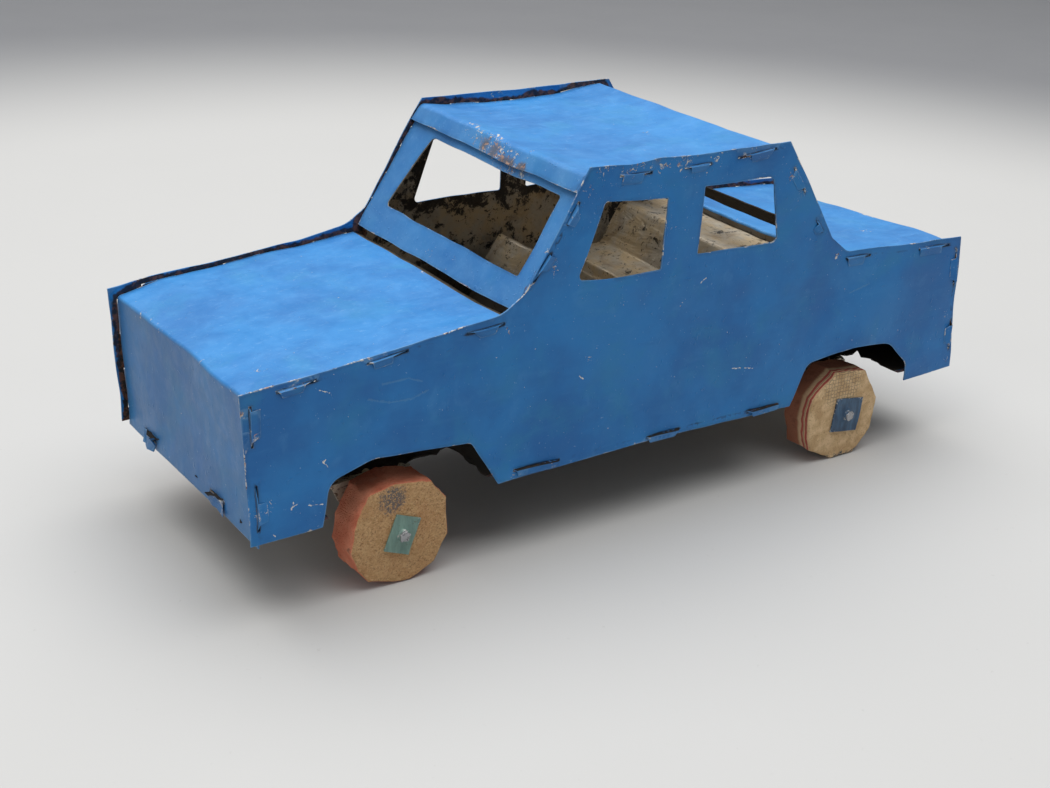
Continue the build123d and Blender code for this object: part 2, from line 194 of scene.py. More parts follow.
def bend_tabs(bm, node):
    """Hammer each tab flat in its own way: proud at the fold, flush and thin at its free end."""
    draw = random.Random(node)
    lowest, highest = (0.75, 1.1) if node == "floor_pan" else (0.05, 0.75)
    bm.verts.index_update()
    for island in islands_beyond(bm, PANEL_OUT + 0.02 * MM):
        roots = [v.co.copy() for v in island
                 if any(abs(e.other_vert(v).co.y) < PANEL_OUT - 0.01 * MM for e in v.link_edges)]
        proud, tilt = draw.uniform(lowest, highest) * MM, draw.uniform(-0.8, 0.8)
        taper, skew = draw.uniform(0.0, 0.45), draw.uniform(-0.35, 0.35)
        length, reach = draw.uniform(0.45, 0.80), draw.uniform(0.55, 0.85)
        if node == "floor_pan":
            length, reach = 0.92, 1.0
        shift = draw.uniform(-1, 1) * (1 - length)
        if not roots:
            continue
        middle = sum(roots, Vector()) / len(roots)
        half = max((root - middle).length for root in roots)
        far_root = max(roots, key=lambda root: (root - middle).length)
        along = Vector((far_root.x - middle.x, 0, far_root.z - middle.z)).normalized()
        for vert in island:
            from_middle = vert.co - middle
            sideways = from_middle.dot(along)
            away = max(0.0, math.hypot(from_middle.x, from_middle.z) ** 2 - sideways ** 2) ** 0.5
            outward = Vector((from_middle.x, 0, from_middle.z)) - along * sideways
            share = min(1.0, away / TAB_LENGTH)
            beside = min(1.0, abs(sideways) / half) ** 4
            above = (abs(vert.co.y) - PANEL_OUT) * (1 - 0.75 * share) * (1 - 0.6 * beside * share)
            above += proud * (1 - share) ** 1.5 * max(0.0, 1 + tilt * sideways / half)
            sideways *= length * (1 - taper * share)
            place = middle + outward * reach + along * (sideways + shift * half + skew * away)
            vert.co = Vector((place.x, math.copysign(PANEL_OUT + above, vert.co.y), place.z))


def tear_edges(bm, rim_mm):
    """Snipped edges inside the body, left ragged."""
    for vert, rim in zip(bm.verts, rim_mm):
        inside = smooth(PANEL_IN - 1.0 * MM, PANEL_IN - 4.0 * MM, abs(vert.co.y))
        share = inside * (1 - smooth(0.4, 2.6, rim))
        ragged = noise.noise_vector(vert.co / (2.8 * MM)) * 1.5 + noise.noise_vector(vert.co / (8 * MM)) * 1.2
        vert.co += Vector((ragged.x, ragged.y, 0.8 * ragged.z)) * MM * share


# Places where the paint has flaked: middle and radius, in millimetres. The visor is worn most.
VISOR_SPOTS = [
    ((32, -15, 112), 4.5), ((32, -9, 111), 5), ((32, -4, 110), 6), ((32, 1, 109.5), 6), ((32, 7, 108), 5),
    ((32, 11, 107.3), 5), ((32, 17, 107), 4.5),
]
WORN_SPOTS = [
    ((22, 45, 113), 5), ((14, 45, 113), 6), ((4, 45, 113), 6), ((-6, 45, 113), 7), ((-18, 45, 113), 5),
    ((-30, 45, 112), 4), ((28, 45, 107), 3), ((33, 45, 101), 2.2), ((41, 45, 91), 2.6), ((39, 45, 86), 3.2),
    ((-2, 45, 94), 2.6), ((3, 45, 105), 2.2), ((-48, 45, 103), 3.5), ((-52, 45, 97), 3), ((-72, 45, 74), 3),
    ((133, 45, 62), 2.6), ((131, 45, 34), 3.0), ((127, 45, 35), 3.0), ((24, 45, 58), 2.0), ((53, 45, 71), 3),
    ((131, -28, 64), 3), ((131, -14, 64), 2.5), ((131, 12, 65), 2.4), ((131, 40, 65), 2.6),
    ((131, 20, 26), 4),
    ((131, -26, 26), 3), ((48, 45, 25), 3), ((-45, 45, 25), 3), ((6, 45, 25), 3), ((-128, 45, 45), 3),
    ((-131, 45, 28), 3), ((39, 12, 97), 2.5), ((50, -5, 76), 3), ((48, 8, 80), 2), ((-133, 10, 40), 6),
    ((-128, -20, 68), 4), ((0, -45, 113), 6), ((-30, -45, 60), 4), ((70, -45, 50), 4), ((100, -45, 66), 4),
    ((-90, -45, 70), 4), ((120, 30, 67), 2.5), ((-20, 10, 111), 3), ((-110, 20, 71), 3),
]

# Bright scratches on the car's left side, as lines from (x, z) to (x, z) in millimetres.
SCRATCHES = [
    ((110.8, 64.7), (107.7, 63.4)), ((107.7, 63.4), (107.1, 61.9)), ((110.3, 44.4), (108.3, 42.0)),
    ((109.5, 43.9), (109.1, 44.3)), ((118.7, 34.2), (119.3, 32.4)), ((118.8, 33.1), (117.7, 33.4)),
    ((114.3, 32.3), (110.1, 31.6)), ((-31.2, 43.2), (-35.3, 42.7)), ((-37.0, 42.4), (-40.5, 41.6)),
    ((-15.5, 73.9), (-17.5, 75.0)), ((27.9, 52.6), (26.5, 51.5)), ((124.8, 26.6), (124.2, 25.6)),
]

# Shallow curved rubs on the same side.
RUBS = [
    ((96.2, 58.9), (90.0, 56.8)), ((90.0, 56.8), (83.0, 56.5)), ((83.0, 56.5), (78.0, 58.0)),
    ((92.0, 62.4), (84.0, 62.6)), ((84.0, 62.6), (80.0, 61.0)), ((-80.0, 60.0), (-88.0, 62.0)),
]


def cross_tree(wanted):
    """The wanted faces of the cross sheets, as one surface to measure from."""
    points, faces = [], []
    for node in CROSS_SHEETS:
        mesh = NODES[node].data
        start = len(points)
        points += [v.co.copy() for v in mesh.vertices]
        faces += [[start + i for i in p.vertices] for p in mesh.polygons if wanted(p.center)]
    return BVHTree.FromPolygons(points, faces)


BODY_MIDDLE_Z = 62 * MM
CROSS = cross_tree(lambda middle: True)
SLOTS = cross_tree(lambda middle: CROSS_END < abs(middle.y) < PANEL_OUT)


def is_inside(point):
    """Whether a point beside a side panel has one of the cross sheets over it."""
    start = Vector((point.x, math.copysign(PANEL_IN - 1.2 * MM, point.y), point.z))
    return CROSS.ray_cast(start, Vector((0, 0, 1)))[0] is not None


def write_points(mesh, name, values):
    """Give every vertex a number that the materials read by name."""
    attribute = mesh.attributes.new(name, "FLOAT", "POINT")
    attribute.data.foreach_set("value", values)


def write_faces(mesh, name, values):
    """The same for every face."""
    attribute = mesh.attributes.new(name, "FLOAT", "FACE")
    attribute.data.foreach_set("value", values)


def painted_share(node, face):
    """1 on a face that was painted, 0 on bare tin."""
    middle, normal = face.calc_center_median(), face.normal
    if abs(middle.y) > PANEL_OUT or (node == "floor_pan" and abs(middle.x) > FLOOR_END):
        return 1.0
    if node == "rear_window_frame":
        return float(normal.x < 0.3)
    if node == "hood_and_nose" and middle.x < HOOD_BACK + HOOD_LIP:
        return 0.0
    if node in ("seat_sheet", "floor_pan", *HANGERS):
        return 0.0
    if node in SIDES:
        return 0.0 if normal.y * SIDES[node] < -0.5 else 1.0
    outward = middle - Vector((max(-0.07, min(0.07, middle.x)), 0, BODY_MIDDLE_Z))
    if node in ("windshield_frame", "roof"):
        outward = middle - Vector((-10 * MM, 0, BODY_MIDDLE_Z))
    return 1.0 if normal.dot(outward) > 0 else 0.0


def worn_here(point):
    """How worn the paint is: up to 1 on the visor, and up to a half elsewhere."""
    worn = 0.0
    for spots, most in ((VISOR_SPOTS, 1.0), (WORN_SPOTS, 0.5)):
        for place, radius in spots:
            share = 1 - (point - Vector(place) * MM).length / (radius * MM)
            worn = max(worn, share * most)
    return worn


def soot_and_shade_here(node, point):
    """How much the bare tin is blackened: partly sooty dirt, partly painted shade under the floor, under the
    hood and behind the seats.
    """
    if node == "floor_pan":
        return 0.97
    if node == "rear_window_frame":
        return 0.95
    if node in HANGERS:
        return 0.0
    if node == "hood_and_nose":
        return 0.8 * (point.x < HOOD_BACK + HOOD_LIP)
    if node == "trunk_and_tail":
        return 0.75
    below_hood = smooth(0, 8 * MM, point.x) * smooth(62 * MM, 56 * MM, point.z)
    below_floor = smooth(38 * MM, 32 * MM, point.z)
    return 0.92 * max(below_hood, below_floor)


def tin_piece(node, material):
    """The finished mesh of one tin sheet."""
    bm = node_bmesh(node)
    rims = tree_of_edges(bm, *RIM_ANGLES)
    folds = tree_of_edges(bm, *FOLD_ANGLES, shortest=2 * MM)
    cut_into_grid(bm, GRID)
    bm.normal_update()
    verts = bm.verts[:]
    rim_mm = [rims.find(v.co)[2] / MM for v in verts]
    fold_mm = [min(99.0, folds.find(v.co)[2] / MM) for v in verts]
    worn = [worn_here(v.co) for v in verts]
    if node in SIDES:
        seam_mm = [CROSS.find_nearest(v.co)[3] / MM for v in verts]
        seam_mm = [-d if is_inside(v.co) else d for d, v in zip(seam_mm, verts)]
        slot_mm = [SLOTS.find_nearest(v.co)[3] / MM for v in verts]
    else:
        seam_mm = [(PANEL_IN - abs(v.co.y)) / MM for v in verts]
        slot_mm = [99.0] * len(verts)
    soot_and_painted_shade = [soot_and_shade_here(node, v.co) for v in verts]
    cream = [0.8 if node in HANGERS else 0.0] * len(verts)
    painted = [painted_share(node, face) for face in bm.faces]
    # ahead and up carry painted light into the paint: a greyer reflection on faces looking ahead, a paler
    # sheen on faces looking up.
    ahead = [max(0.0, face.normal.x) for face in bm.faces]
    up = [smooth(0.1, 0.5, face.normal.z) for face in bm.faces]
    bend_tabs(bm, node)
    if node in ("floor_pan", *HANGERS):
        tear_edges(bm, rim_mm)
    for vert in bm.verts:
        vert.co = hand_bent(vert.co)
    mesh = bpy.data.meshes.new(node + "_tin")
    bm.to_mesh(mesh)
    bm.free()
    write_points(mesh, "rim_mm", rim_mm)
    write_points(mesh, "fold_mm", fold_mm)
    write_points(mesh, "seam_mm", seam_mm)
    write_points(mesh, "slot_mm", slot_mm)
    write_points(mesh, "soot_and_painted_shade", soot_and_painted_shade)
    write_points(mesh, "cream", cream)
    write_points(mesh, "worn", worn)
    write_faces(mesh, "painted", painted)
    write_faces(mesh, "ahead", ahead)
    write_faces(mesh, "up", up)
    return finish_piece(node, mesh, material, SHELL, TIN_SHARP)


def finish_piece(node, mesh, material, body, sharp_angle):
    """Shade a mesh, link it, and let it stand for its CAD node."""
    mesh.materials.append(material)
    mesh.shade_smooth()
    mesh.set_sharp_from_angle(angle=math.radians(sharp_angle))
    piece = bpy.data.objects.new(mesh.name, mesh)
    bpy.context.scene.collection.objects.link(piece)
    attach(piece, body)
    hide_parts(node)
    return piece


# ------------------------------------------------------------------------- materials
class Shader:
    """A material being built: short calls for the nodes that the finishes here use."""

    def __init__(self, name):
        self.material = bpy.data.materials.new(name)
        self.material.use_nodes = True
        self.tree = self.material.node_tree
        self.tree.nodes.clear()
        self.out = self.tree.nodes.new("ShaderNodeOutputMaterial")
        self.bsdf = self.tree.nodes.new("ShaderNodeBsdfPrincipled")
        self.tree.links.new(self.bsdf.outputs[0], self.out.inputs["Surface"])
        place = self.tree.nodes.new("ShaderNodeTexCoord").outputs["Object"]
        self.mm = self.vector("SCALE", place, scale=1 / MM)

    def put(self, socket, value):
        if isinstance(value, bpy.types.NodeSocket):
            self.tree.links.new(value, socket)
        elif value is not None:
            socket.default_value = value

    def vector(self, operation, a, b=None, scale=None):
        node = self.tree.nodes.new("ShaderNodeVectorMath")
        node.operation = operation
        self.put(node.inputs[0], a)
        self.put(node.inputs[1], b)
        if scale is not None:
            self.put(node.inputs["Scale"], scale)
        return node.outputs[0]

    def value(self, operation, a, b=None):
        """A vector operation that gives a plain number."""
        return self.vector(operation, a, b).node.outputs[1]

    def math(self, operation, a, b=None, c=None, clamp=False):
        node = self.tree.nodes.new("ShaderNodeMath")
        node.operation = operation
        node.use_clamp = clamp
        for socket, value in zip(node.inputs, (a, b, c)):
            self.put(socket, value)
        return node.outputs[0]

    def times(self, a, b):
        return self.math("MULTIPLY", a, b)

    def rest(self, share):
        """What a share leaves of the whole."""
        return self.math("SUBTRACT", 1.0, share)

    def sideways(self, start, from_low, from_high):
        """0 nearer the middle of the car than start, 1 further out: a step in millimetres."""
        out = self.math("ABSOLUTE", self.split(self.mm)[1])
        return self.step(out, start / MM + from_low, start / MM + from_high)

    def attribute(self, name):
        node = self.tree.nodes.new("ShaderNodeAttribute")
        node.attribute_name = name
        return node.outputs["Fac"]

    def split(self, vector):
        node = self.tree.nodes.new("ShaderNodeSeparateXYZ")
        self.put(node.inputs[0], vector)
        return node.outputs

    def noise(self, size, detail=3.0, rough=0.55, stretch=(1, 1, 1), offset=(0, 0, 0), warp=0.0):
        """Noise from about 0 to 1, with features of about size millimetres."""
        node = self.tree.nodes.new("ShaderNodeTexNoise")
        place = self.vector("MULTIPLY_ADD", self.mm, tuple(s / size for s in stretch))
        place.node.inputs[2].default_value = offset
        self.put(node.inputs["Vector"], place)
        self.put(node.inputs["Scale"], 1.0)
        self.put(node.inputs["Detail"], detail)
        self.put(node.inputs["Roughness"], rough)
        self.put(node.inputs["Distortion"], warp)
        return node.outputs["Fac"]

    def noise_colour(self, size):
        """Three noises at once, as a vector."""
        return self.noise(size).node.outputs["Color"]

    def cells(self, size, feature="F1", output="Distance", jitter=1.0):
        """Crumbs of about size millimetres."""
        node = self.tree.nodes.new("ShaderNodeTexVoronoi")
        node.feature = feature
        self.put(node.inputs["Vector"], self.vector("SCALE", self.mm, scale=1 / size))
        self.put(node.inputs["Scale"], 1.0)
        self.put(node.inputs["Randomness"], jitter)
        return node.outputs[output]

    def step(self, value, low, high, to_low=0.0, to_high=1.0):
        """A smooth step of value, from low to high."""
        node = self.tree.nodes.new("ShaderNodeMapRange")
        node.interpolation_type = "SMOOTHSTEP"
        for socket, number in zip(node.inputs, (value, low, high, to_low, to_high)):
            self.put(socket, number)
        return node.outputs["Result"]

    def mix(self, share, a, b, kind="MIX"):
        node = self.tree.nodes.new("ShaderNodeMix")
        node.data_type = "RGBA"
        node.blend_type = kind
        self.put(node.inputs["Factor"], share)
        self.put(node.inputs[6], colour(a))
        self.put(node.inputs[7], colour(b))
        return node.outputs[2]

    def blend(self, share, a, b):
        """Plain numbers mixed."""
        node = self.tree.nodes.new("ShaderNodeMix")
        node.data_type = "FLOAT"
        self.put(node.inputs["Factor"], share)
        self.put(node.inputs[2], a)
        self.put(node.inputs[3], b)
        return node.outputs[0]

    def bump(self, height, distance, strength=1.0, under=None):
        node = self.tree.nodes.new("ShaderNodeBump")
        self.put(node.inputs["Height"], height)
        self.put(node.inputs["Distance"], distance * MM)
        self.put(node.inputs["Strength"], strength)
        self.put(node.inputs["Normal"], under)
        return node.outputs[0]

    def finish(self, **inputs):
        names = {"colour": "Base Color", "rough": "Roughness", "metal": "Metallic", "normal": "Normal",
                 "specular": "Specular IOR Level", "coat": "Coat Weight", "coat_rough": "Coat Roughness"}
        for name, value in inputs.items():
            self.put(self.bsdf.inputs[names[name]], colour(value) if name == "colour" else value)
        return self.material


def colour(value):
    """Three numbers as an opaque colour; anything else as it is."""
    return (*value, 1.0) if isinstance(value, tuple) and len(value) == 3 else value


BLUE = (0.015, 0.180, 0.480)
DEEP_BLUE = (0.010, 0.130, 0.390)
PALE_BLUE = (0.080, 0.280, 0.560)
TEAL_BLUE = (0.020, 0.195, 0.410)
OLD_BLUE_AND_REFLECTION = (0.062, 0.145, 0.270)
NAVY = (0.012, 0.040, 0.095)
PINK_PRIMER = (0.42, 0.27, 0.21)
BARE_BRIGHT = (0.62, 0.60, 0.56)
RUST = (0.125, 0.050, 0.025)
# Near black for sooty dirt, black spots and seams, and also for painted shade on the bare tin.
BLACK_GRIME_AND_SHADE = (0.013, 0.011, 0.010)
TOP_SHEEN_AND_DUST = (0.16, 0.48, 0.92)
STREAK_DUST = (0.36, 0.58, 0.84)
SCUFF = (0.32, 0.48, 0.66)
RIM_HIGHLIGHT_BLUE = (0.20, 0.42, 0.68)
SLOT_SHADE_AND_GRIME = (0.006, 0.014, 0.030)
BROWN_SMEAR = (0.105, 0.085, 0.070)
SCRATCH_WHITE = (0.70, 0.69, 0.64)
RUB_BLUE = (0.12, 0.28, 0.45)
TIN_GOLD = (0.50, 0.385, 0.235)
TIN_GREY = (0.44, 0.385, 0.300)
TIN_CREAM = (0.80, 0.74, 0.60)
TIN_RUBBED = (0.62, 0.56, 0.45)
TIN_STAIN = (0.20, 0.125, 0.065)

CRUMB_BROWN, CRUMB_TAN = (0.50, 0.285, 0.125), (0.66, 0.42, 0.215)
CRUMB_PIT, CRUMB_PALE, CRUMB_RED = (0.15, 0.070, 0.030), (0.88, 0.68, 0.44), (0.50, 0.24, 0.10)
GLUE_SMUDGE = (0.085, 0.105, 0.130)
SOLE_RED, SOLE_ORANGE, SOLE_SCUFFED = (0.66, 0.180, 0.098), (0.80, 0.290, 0.170), (0.68, 0.34, 0.22)
SOLE_DIRT = (0.12, 0.05, 0.03)
FOAM_BROWN, FOAM_TAN, FOAM_PIT = (0.52, 0.34, 0.175), (0.72, 0.52, 0.30), (0.24, 0.13, 0.06)
FOAM_CREAM, FOAM_INNER, FOAM_DIRT = (0.70, 0.47, 0.275), (0.40, 0.155, 0.09), (0.14, 0.07, 0.045)
LAYER_RED, GLUE_LINE = (0.46, 0.085, 0.070), (0.08, 0.06, 0.05)
PRINT_DARK = (0.12, 0.10, 0.08)
PAINT_SPILL = (0.030, 0.065, 0.090)

WASHER_GREEN, WASHER_DARK_GREEN = (0.19, 0.31, 0.255), (0.12, 0.215, 0.185)
WASHER_BLUE, WASHER_DARK_BLUE = (0.050, 0.125, 0.22), (0.016, 0.045, 0.095)
WASHER_RUB_AND_HIGHLIGHT, WASHER_RUST = (0.55, 0.54, 0.50), (0.10, 0.06, 0.035)
WIRE_STEEL, WIRE_RUST, WIRE_BLACK = (0.44, 0.44, 0.45), (0.14, 0.08, 0.05), (0.05, 0.045, 0.04)
DULL_TIN, DULL_STAIN = (0.34, 0.30, 0.24), (0.12, 0.08, 0.05)
FLOOR_NEAR, FLOOR_FAR = (0.530, 0.525, 0.512), (0.215, 0.217, 0.226)
FLOOR_SPECK, FLOOR_CLOUD = (0.27, 0.26, 0.24), (0.42, 0.42, 0.41)


def paint_colour(s, streak, cloud):
    """Brushed enamel: broad mottling, brush streaks, pale rubs, greyer where it faces ahead (old paint and a
    painted reflection) and paler where it faces up (dust and a painted sheen).
    """
    mottle = s.noise(30, 4, 0.6, offset=(3, 5, 1))
    paint = s.mix(s.step(mottle, 0.36, 0.64), DEEP_BLUE, BLUE)
    teal = s.step(s.noise(19, 4, 0.6, offset=(9, 4, 6), warp=0.5), 0.50, 0.72)
    paint = s.mix(s.times(teal, 0.55), paint, TEAL_BLUE)
    paint = s.mix(s.times(s.step(streak, 0.50, 0.76), 0.14), paint, PALE_BLUE)
    paint = s.mix(s.times(s.step(cloud, 0.54, 0.76), 0.22), paint, PALE_BLUE)
    paint = s.mix(s.times(s.step(cloud, 0.42, 0.24), 0.35), paint, DEEP_BLUE)
    # Faces that look ahead turn greyer: partly older paint, partly a painted reflection of the pale
    # surroundings.
    ahead = s.step(s.attribute("ahead"), 0.55, 0.98)
    old_paint_and_reflection = s.times(ahead, s.step(cloud, 0.2, 0.7, 0.25, 0.62))
    paint = s.mix(old_paint_and_reflection, paint, OLD_BLUE_AND_REFLECTION)
    # Faces that look up are paler: partly dust, partly a painted sheen of the overhead light.
    up = s.attribute("up")
    paint = s.mix(s.times(up, s.step(cloud, 0.3, 0.7, 0.10, 0.22)), paint, TOP_SHEEN_AND_DUST)
    dusty = s.step(s.noise(0.9, 3, 0.7, stretch=(0.30, 1, 1), offset=(4, 1, 9), warp=0.8), 0.57, 0.72)
    paint = s.mix(s.times(s.times(dusty, up), 0.14), paint, STREAK_DUST)
    rubbed = s.step(s.noise(0.9, 3, 0.6, offset=(4, 4, 4)), 0.675, 0.75)
    return s.mix(s.times(rubbed, 0.45), paint, SCUFF)


def flaked(s, rim, fold, grain, coarse):
    """Where the paint is gone: broken bits along the rims and folds, in the worn spots, and
    a few crumbs anywhere."""
    worn = s.attribute("worn")
    on_tab = s.sideways(PANEL_OUT, 0.2, 0.4)
    reach = s.times(s.math("SUBTRACT", coarse, 0.63), 2.6)
    reach = s.math("SUBTRACT", reach, s.times(on_tab, 0.1))
    at_rim = s.step(s.math("SUBTRACT", rim, reach), 0.36, 0.10)
    at_fold = s.times(s.step(fold, 0.9, 0.2), s.step(coarse, 0.62, 0.66))
    broken = s.times(s.math("MAXIMUM", at_rim, at_fold), s.step(grain, 0.44, 0.52))
    in_spot = s.step(s.math("MULTIPLY_ADD", s.math("SQRT", worn), 0.20, grain), 0.690, 0.715)
    in_spot = s.times(in_spot, s.step(worn, 0.0, 0.15))
    crumb = s.step(s.noise(0.9, 2, 0.5, offset=(9, 9, 2)), 0.765, 0.79)
    return s.math("MAXIMUM", s.math("MAXIMUM", broken, in_spot), crumb, clamp=True)


def lines_on_side(s, lines):
    """Distance in millimetres from the nearest of some lines drawn on the left side."""
    wobble = s.vector("MULTIPLY_ADD", s.noise_colour(0.8), (0.7, 0, 0.7))
    wobble.node.inputs[2].default_value = (-0.35, 0, -0.35)
    flat = s.vector("ADD", s.vector("MULTIPLY", s.mm, (1, 0, 1)), wobble)
    nearest = None
    for (x0, z0), (x1, z1) in lines:
        run = Vector((x1 - x0, 0, z1 - z0))
        start = s.vector("SUBTRACT", flat, (x0, 0, z0))
        along = s.value("DOT_PRODUCT", start, tuple(run / run.length_squared))
        along = s.math("MINIMUM", s.math("MAXIMUM", along, 0.0), 1.0)
        foot = s.vector("SCALE", tuple(run), scale=along)
        distance = s.value("LENGTH", s.vector("SUBTRACT", start, foot))
        nearest = distance if nearest is None else s.math("MINIMUM", nearest, distance)
    left = s.step(s.split(s.mm)[1], PANEL_IN / MM - 2, PANEL_IN / MM - 1)
    return s.math("ADD", nearest, s.times(s.rest(left), 50.0))


def tin_colour(s, rim, grain):
    """Bare tin: yellowed lacquer with grey rubs, brown stains, black spots and blackened rims."""
    tin = s.mix(s.step(s.noise(8, 4, 0.6, offset=(1, 6, 2)), 0.38, 0.64), TIN_GREY, TIN_GOLD)
    stain = s.noise(17, 5, 0.65, offset=(7, 7, 1), warp=0.8)
    tin = s.mix(s.times(s.step(stain, 0.50, 0.68), 0.55), tin, TIN_STAIN)
    rub = s.noise(1.1, 3, 0.6, stretch=(0.15, 1.0, 0.6), offset=(6, 2, 2))
    tin = s.mix(s.times(s.step(rub, 0.60, 0.70), 0.35), tin, TIN_RUBBED)
    speck = s.step(s.noise(1.7, 4, 0.65, offset=(3, 8, 8), warp=0.9), 0.625, 0.665)
    patch = s.noise(5.5, 6, 0.80, offset=(4, 0, 5), warp=0.35)
    on_panel = s.sideways(PANEL_IN, -1.5, -1.0)
    more = s.times(s.step(rim, 7.0, 0.5), 0.13)
    more = s.times(s.math("ADD", more, 0.030), on_panel)
    patch = s.step(s.math("ADD", patch, more), 0.565, 0.625)
    dark = s.math("MAXIMUM", speck, patch)
    return s.mix(s.times(dark, s.step(grain, 0.2, 0.5, 0.75, 0.95)), tin, BLACK_GRIME_AND_SHADE)


def blue_over_tin():
    """Brushed blue enamel over tin: streaked, flaked at the edges, rusty in the seams, and
    bare tin with black spots, dirt and painted shade where the sheet was never painted."""
    s = Shader("blue_over_tin")
    rim, fold, seam = s.attribute("rim_mm"), s.attribute("fold_mm"), s.attribute("seam_mm")
    painted = s.attribute("painted")
    streak = s.noise(3.2, 4, 0.6, stretch=(0.16, 1.0, 0.75), offset=(1, 9, 4), warp=0.4)
    cloud = s.noise(10, 5, 0.65, offset=(8, 2, 6), warp=0.5)
    grain = s.noise(1.5, 5, 0.7, offset=(2, 7, 3), warp=1.0)
    coarse = s.noise(8, 3, 0.6, offset=(6, 1, 8), warp=0.6)
    is_side = s.sideways(PANEL_IN, -1.5, -1.2)

    # Grime lies against the rims; on a side panel the slots round each folded tab are darkened near black,
    # partly dirt and partly painted shade in the slits.
    paint = paint_colour(s, streak, cloud)
    at_rim = s.step(s.math("ADD", rim, s.times(cloud, 2.0)), 2.3, 0.8)
    on_tab = s.sideways(PANEL_OUT, 0.05, 0.15)
    at_rim = s.times(at_rim, s.blend(on_tab, 0.28, 0.0))
    paint = s.mix(at_rim, paint, NAVY)
    # A pale line right on the rims: painted highlight where the thick edge paint catches the light.
    rim_highlight = s.times(s.step(rim, 0.45, 0.15), s.step(cloud, 0.35, 0.60))
    paint = s.mix(s.times(rim_highlight, 0.30), paint, RIM_HIGHLIGHT_BLUE)
    # Painted shade in the slits of the slots, with some dirt.
    slot_shade_and_dirt = s.step(s.math("MULTIPLY_ADD", coarse, 1.2, s.attribute("slot_mm")), 1.15, 0.80)
    slot_shade_and_dirt = s.times(slot_shade_and_dirt, is_side)
    paint = s.mix(s.times(slot_shade_and_dirt, 0.85), paint, SLOT_SHADE_AND_GRIME)

    smear = s.step(s.math("MULTIPLY_ADD", cloud, 0.8, s.attribute("worn")), 0.76, 1.10)
    paint = s.mix(s.times(smear, 0.80), paint, BROWN_SMEAR)
    flake = flaked(s, rim, fold, grain, coarse)
    primer = s.noise(2.6, 3, 0.6, offset=(1, 1, 7))
    pink = s.math("MULTIPLY_ADD", s.step(s.attribute("worn"), 0.35, 0.6), 0.22, primer)
    under = s.mix(s.step(pink, 0.56, 0.64), BARE_BRIGHT, PINK_PRIMER)
    under = s.mix(s.step(s.noise(1.3, 3, 0.7, offset=(8, 3, 7)), 0.55, 0.62), under, RUST)
    outside = s.mix(flake, paint, under)
    ragged = s.times(s.math("SUBTRACT", grain, 0.5), 1.3)
    scratch = s.step(s.math("ADD", lines_on_side(s, SCRATCHES), ragged), 0.13, 0.05)
    outside = s.mix(scratch, outside, SCRATCH_WHITE)
    rub = s.step(s.math("ADD", lines_on_side(s, RUBS), ragged), 0.45, 0.10)
    outside = s.mix(s.times(rub, 0.28), outside, RUB_BLUE)

    # Rust and black in the corners between the sheets, and up the lips of the side panels.
    reach = s.times(s.math("SUBTRACT", coarse, 0.5), 6.0)
    in_seam = s.step(s.math("SUBTRACT", s.math("ABSOLUTE", seam), reach), s.blend(is_side, 0.7, 2.2),
                     s.blend(is_side, 0.0, 1.4))
    rust = s.mix(s.step(s.noise(2.4, 4, 0.7, offset=(5, 5, 2)), 0.44, 0.60), BLACK_GRIME_AND_SHADE, RUST)
    # Bare tin is blackened in places: partly sooty dirt, partly painted shade where the inside of the car
    # lies in shadow.
    soot_and_shade_share = s.times(s.step(cloud, 0.10, 0.36), s.attribute("soot_and_painted_shade"))
    bare_tin = s.mix(s.attribute("cream"), tin_colour(s, rim, grain), TIN_CREAM)
    bare_tin = s.mix(s.times(s.attribute("cream"), s.step(grain, 0.52, 0.60)), bare_tin, RUST)
    bare_tin = s.mix(soot_and_shade_share, bare_tin, BLACK_GRIME_AND_SHADE)
    lip = s.step(s.math("ADD", seam, s.times(coarse, 0.8)), 0.2, 0.5)
    cover = s.math("MAXIMUM", painted, s.times(lip, is_side))
    base = s.mix(cover, bare_tin, outside)
    allowed = s.blend(painted, 1.0, s.rest(is_side))
    rusted = s.times(in_seam, s.times(allowed, s.rest(on_tab)))
    base = s.mix(s.times(rusted, 0.92), base, rust)

    bare = s.rest(s.times(cover, s.rest(flake)))
    rough = s.blend(bare, s.step(streak, 0.2, 0.8, 0.34, 0.52), s.step(grain, 0.3, 0.7, 0.30, 0.55))
    dull = s.math("MAXIMUM", rusted, s.times(soot_and_shade_share, s.rest(painted)))
    rough = s.blend(dull, rough, 0.92)
    metal = s.times(s.times(bare, 0.30), s.rest(dull))

    wave = s.bump(s.noise(14, 3, 0.5, offset=(4, 4, 9)), 0.30)
    crease = s.noise(7, 3, 0.6, stretch=(1, 0.22, 1), offset=(6, 3, 1), warp=0.6)
    wave = s.bump(s.times(crease, s.rest(painted)), 0.9, under=wave)
    pimple = s.step(s.noise(2.2, 2, 0.5, offset=(7, 3, 3)), 0.66, 0.76)
    wave = s.bump(pimple, 0.10, under=wave)
    brush = s.bump(streak, 0.012, under=wave)
    lumps = s.bump(s.noise(1.2, 3, 0.6), 0.016, under=brush)
    sunk = s.math("MAXIMUM", flake, s.math("MAXIMUM", scratch, s.times(rub, 0.6)))
    edge_of_flake = s.bump(s.rest(sunk), 0.06, under=lumps)
    return s.finish(colour=base, rough=rough, metal=metal, normal=edge_of_flake, specular=0.34)


